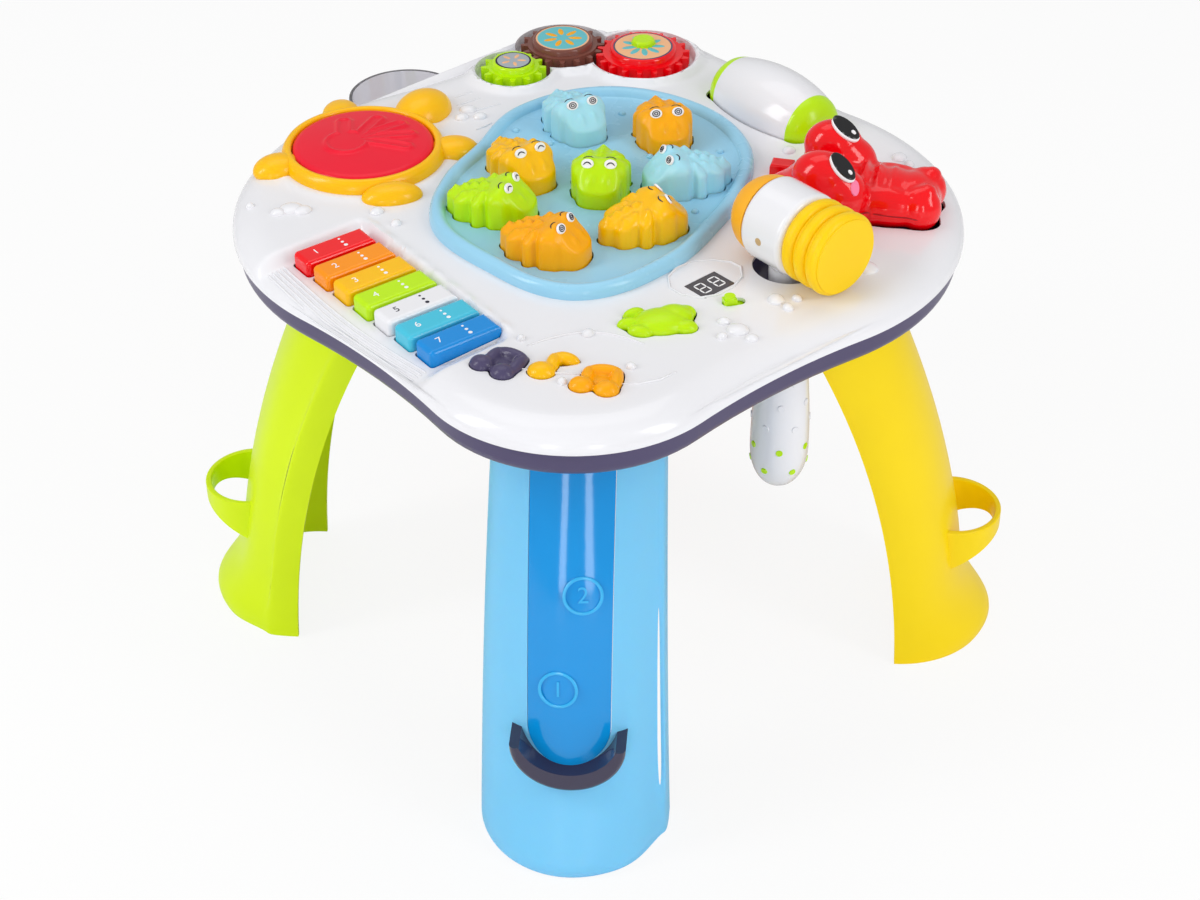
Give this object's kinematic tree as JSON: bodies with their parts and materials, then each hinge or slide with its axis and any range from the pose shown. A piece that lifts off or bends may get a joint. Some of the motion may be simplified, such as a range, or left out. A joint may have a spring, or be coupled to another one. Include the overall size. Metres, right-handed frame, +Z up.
{
  "type": "musical activity table",
  "caption": "Toddler activity table on bowed legs with press-down toy animals, piano keys, drum, meshing gears, roller, crocodile button, hammer, side cup and ball hoops.",
  "frame": {"origin": "floor point midway between the four feet, under the middle of the table", "axes": "+Z up; the blue front leg with the chute faces -Y; the green leg is at -X and the yellow leg at +X"},
  "size_m": [0.56, 0.5596, 0.387],
  "materials": {
    "amber_plastic": "gloss",
    "aqua_plastic": "gloss",
    "black_plastic": "gloss",
    "blue_plastic": "gloss",
    "board": "gloss",
    "brown_plastic": "gloss",
    "cell_metal": "satin",
    "clear_plastic": "satin",
    "cyan_plastic": "gloss",
    "deep_blue_plastic": "gloss",
    "grey_rubber": "satin",
    "lime_plastic": "gloss",
    "navy_plastic": "gloss",
    "orange_plastic": "gloss",
    "orange_rubber": "satin",
    "red_plastic": "gloss",
    "royal_plastic": "gloss",
    "sky_plastic": "gloss",
    "smoked_plastic": "gloss",
    "steel": "satin",
    "white_plastic": "gloss",
    "yellow_plastic": "gloss",
    "yellow_rubber": "satin"
  },
  "bodies": {
    "table": {"back_leg": "orange_plastic", "battery_cells": "cell_metal", "battery_door": "navy_plastic", "bottom_tray": "navy_plastic", "case_screws": "steel", "catcher_lip": "navy_plastic", "chute_window": "deep_blue_plastic", "circuit_board": "board", "contact_domes": "grey_rubber", "croc_tab": "red_plastic", "display_window": "smoked_plastic", "front_leg": "blue_plastic", "gear_pins": "navy_plastic", "island_plate": "sky_plastic", "key_rail": "navy_plastic", "left_hoop": "lime_plastic", "left_leg": "lime_plastic", "right_hoop": "yellow_plastic", "right_leg": "yellow_plastic", "roller_axle": "steel", "roller_cradle": "white_plastic", "side_contacts": "grey_rubber", "side_cup": "clear_plastic", "speaker": "black_plastic", "top_shell": "white_plastic", "turtle_ring": "amber_plastic"},
    "dino_1_button": {"dino_1": "aqua_plastic"},
    "dino_2_button": {"dino_2": "orange_plastic"},
    "dino_3_button": {"dino_3": "amber_plastic"},
    "dino_4_button": {"dino_4": "lime_plastic"},
    "dino_5_button": {"dino_5": "aqua_plastic"},
    "dino_6_button": {"dino_6": "lime_plastic"},
    "dino_7_button": {"dino_7": "orange_plastic"},
    "dino_8_button": {"dino_8": "amber_plastic"},
    "key_1": {"piano_key_1": "red_plastic"},
    "key_2": {"piano_key_2": "orange_plastic"},
    "key_3": {"piano_key_3": "amber_plastic"},
    "key_4": {"piano_key_4": "lime_plastic"},
    "key_5": {"piano_key_5": "white_plastic"},
    "key_6": {"piano_key_6": "cyan_plastic"},
    "key_7": {"piano_key_7": "royal_plastic"},
    "drum": {"drum_pad": "red_plastic"},
    "croc": {"croc_head": "red_plastic"},
    "paw": {"paw_button": "lime_plastic"},
    "note_navy": {"note_button_navy": "navy_plastic"},
    "note_amber": {"note_button_amber": "amber_plastic"},
    "note_orange": {"note_button_orange": "orange_plastic"},
    "switch": {"switch_knob": "lime_plastic"},
    "hammer": {"hammer_core": "white_plastic", "hammer_soft_end": "orange_rubber", "hammer_bellows": "yellow_rubber", "hammer_handle": "white_plastic"},
    "gear_brown_wheel": {"gear_brown": "brown_plastic"},
    "gear_green_wheel": {"gear_green": "lime_plastic"},
    "gear_red_wheel": {"gear_red": "red_plastic", "gear_knob": "lime_plastic"},
    "roller": {"roller_barrel": "white_plastic", "roller_cap_left": "lime_plastic", "roller_cap_right": "lime_plastic"}
  },
  "joints": [
    {"name": "dino_1_press", "type": "slide", "parent": "table", "child": "dino_1_button", "axis": [0, 0, -1], "range_m": [0, 0.005], "stiffness_N_per_m": 300, "springref_m": -0.003},
    {"name": "dino_2_press", "type": "slide", "parent": "table", "child": "dino_2_button", "axis": [0, 0, -1], "range_m": [0, 0.005], "stiffness_N_per_m": 300, "springref_m": -0.003},
    {"name": "dino_3_press", "type": "slide", "parent": "table", "child": "dino_3_button", "axis": [0, 0, -1], "range_m": [0, 0.005], "stiffness_N_per_m": 300, "springref_m": -0.003},
    {"name": "dino_4_press", "type": "slide", "parent": "table", "child": "dino_4_button", "axis": [0, 0, -1], "range_m": [0, 0.005], "stiffness_N_per_m": 300, "springref_m": -0.003},
    {"name": "dino_5_press", "type": "slide", "parent": "table", "child": "dino_5_button", "axis": [0, 0, -1], "range_m": [0, 0.005], "stiffness_N_per_m": 300, "springref_m": -0.003},
    {"name": "dino_6_press", "type": "slide", "parent": "table", "child": "dino_6_button", "axis": [0, 0, -1], "range_m": [0, 0.005], "stiffness_N_per_m": 300, "springref_m": -0.003},
    {"name": "dino_7_press", "type": "slide", "parent": "table", "child": "dino_7_button", "axis": [0, 0, -1], "range_m": [0, 0.005], "stiffness_N_per_m": 300, "springref_m": -0.003},
    {"name": "dino_8_press", "type": "slide", "parent": "table", "child": "dino_8_button", "axis": [0, 0, -1], "range_m": [0, 0.005], "stiffness_N_per_m": 300, "springref_m": -0.003},
    {"name": "key_1_tilt", "type": "hinge", "parent": "table", "child": "key_1", "pos_m": [-0.14116, -0.05993, 0.3181], "axis": [0.6561, -0.7547, 0], "range_deg": [0, 3.5], "stiffness_Nm_per_rad": 0.6, "springref_deg": -2.86},
    {"name": "key_2_tilt", "type": "hinge", "parent": "table", "child": "key_2", "pos_m": [-0.12637, -0.07525, 0.3181], "axis": [0.6561, -0.7547, 0], "range_deg": [0, 3.5], "stiffness_Nm_per_rad": 0.6, "springref_deg": -2.86},
    {"name": "key_3_tilt", "type": "hinge", "parent": "table", "child": "key_3", "pos_m": [-0.11157, -0.09057, 0.3181], "axis": [0.6561, -0.7547, 0], "range_deg": [0, 3.5], "stiffness_Nm_per_rad": 0.6, "springref_deg": -2.86},
    {"name": "key_4_tilt", "type": "hinge", "parent": "table", "child": "key_4", "pos_m": [-0.09677, -0.1059, 0.3181], "axis": [0.6561, -0.7547, 0], "range_deg": [0, 3.5], "stiffness_Nm_per_rad": 0.6, "springref_deg": -2.86},
    {"name": "key_5_tilt", "type": "hinge", "parent": "table", "child": "key_5", "pos_m": [-0.08198, -0.12122, 0.3181], "axis": [0.6561, -0.7547, 0], "range_deg": [0, 3.5], "stiffness_Nm_per_rad": 0.6, "springref_deg": -2.86},
    {"name": "key_6_tilt", "type": "hinge", "parent": "table", "child": "key_6", "pos_m": [-0.06718, -0.13654, 0.3181], "axis": [0.6561, -0.7547, 0], "range_deg": [0, 3.5], "stiffness_Nm_per_rad": 0.6, "springref_deg": -2.86},
    {"name": "key_7_tilt", "type": "hinge", "parent": "table", "child": "key_7", "pos_m": [-0.05239, -0.15186, 0.3181], "axis": [0.6561, -0.7547, 0], "range_deg": [0, 3.5], "stiffness_Nm_per_rad": 0.6, "springref_deg": -2.86},
    {"name": "drum_press", "type": "slide", "parent": "table", "child": "drum", "axis": [0, 0, -1], "range_m": [0, 0.0025], "stiffness_N_per_m": 900, "springref_m": -0.003},
    {"name": "croc_press", "type": "slide", "parent": "table", "child": "croc", "axis": [0, 0, -1], "range_m": [0, 0.004], "stiffness_N_per_m": 1200, "springref_m": -0.003},
    {"name": "paw_press", "type": "slide", "parent": "table", "child": "paw", "axis": [0, 0, -1], "range_m": [0, 0.0025], "stiffness_N_per_m": 400, "springref_m": -0.002},
    {"name": "note_navy_press", "type": "slide", "parent": "table", "child": "note_navy", "axis": [0, 0, -1], "range_m": [0, 0.0025], "stiffness_N_per_m": 300, "springref_m": -0.002},
    {"name": "note_amber_press", "type": "slide", "parent": "table", "child": "note_amber", "axis": [0, 0, -1], "range_m": [0, 0.0025], "stiffness_N_per_m": 300, "springref_m": -0.002},
    {"name": "note_orange_press", "type": "slide", "parent": "table", "child": "note_orange", "axis": [0, 0, -1], "range_m": [0, 0.0025], "stiffness_N_per_m": 300, "springref_m": -0.002},
    {"name": "switch_slide", "type": "slide", "parent": "table", "child": "switch", "axis": [0.9397, 0.342, 0], "range_m": [0, 0.005]},
    {"name": "hammer_lift", "type": "slide", "parent": "table", "child": "hammer", "axis": [0, 0, 1], "range_m": [0, 0.18]},
    {"name": "gear_brown_spin", "type": "hinge", "parent": "table", "child": "gear_brown_wheel", "pos_m": [-0.0403, 0.2048, 0.327], "axis": [0, 0, 1], "continuous": true},
    {"name": "gear_green_spin", "type": "hinge", "parent": "table", "child": "gear_green_wheel", "pos_m": [-0.0716, 0.16802, 0.327], "axis": [0, 0, 1], "continuous": true},
    {"name": "gear_red_spin", "type": "hinge", "parent": "table", "child": "gear_red_wheel", "pos_m": [0.01763, 0.19562, 0.327], "axis": [0, 0, 1], "continuous": true},
    {"name": "roller_spin", "type": "hinge", "parent": "table", "child": "roller", "pos_m": [0.111, 0.125, 0.334], "axis": [0.682, -0.7314, 0], "continuous": true}
  ],
  "couplings": [
    {"joint": "gear_green_spin", "follows": "gear_brown_spin", "ratio": -1.3333},
    {"joint": "gear_red_spin", "follows": "gear_brown_spin", "ratio": -0.88889}
  ]
}
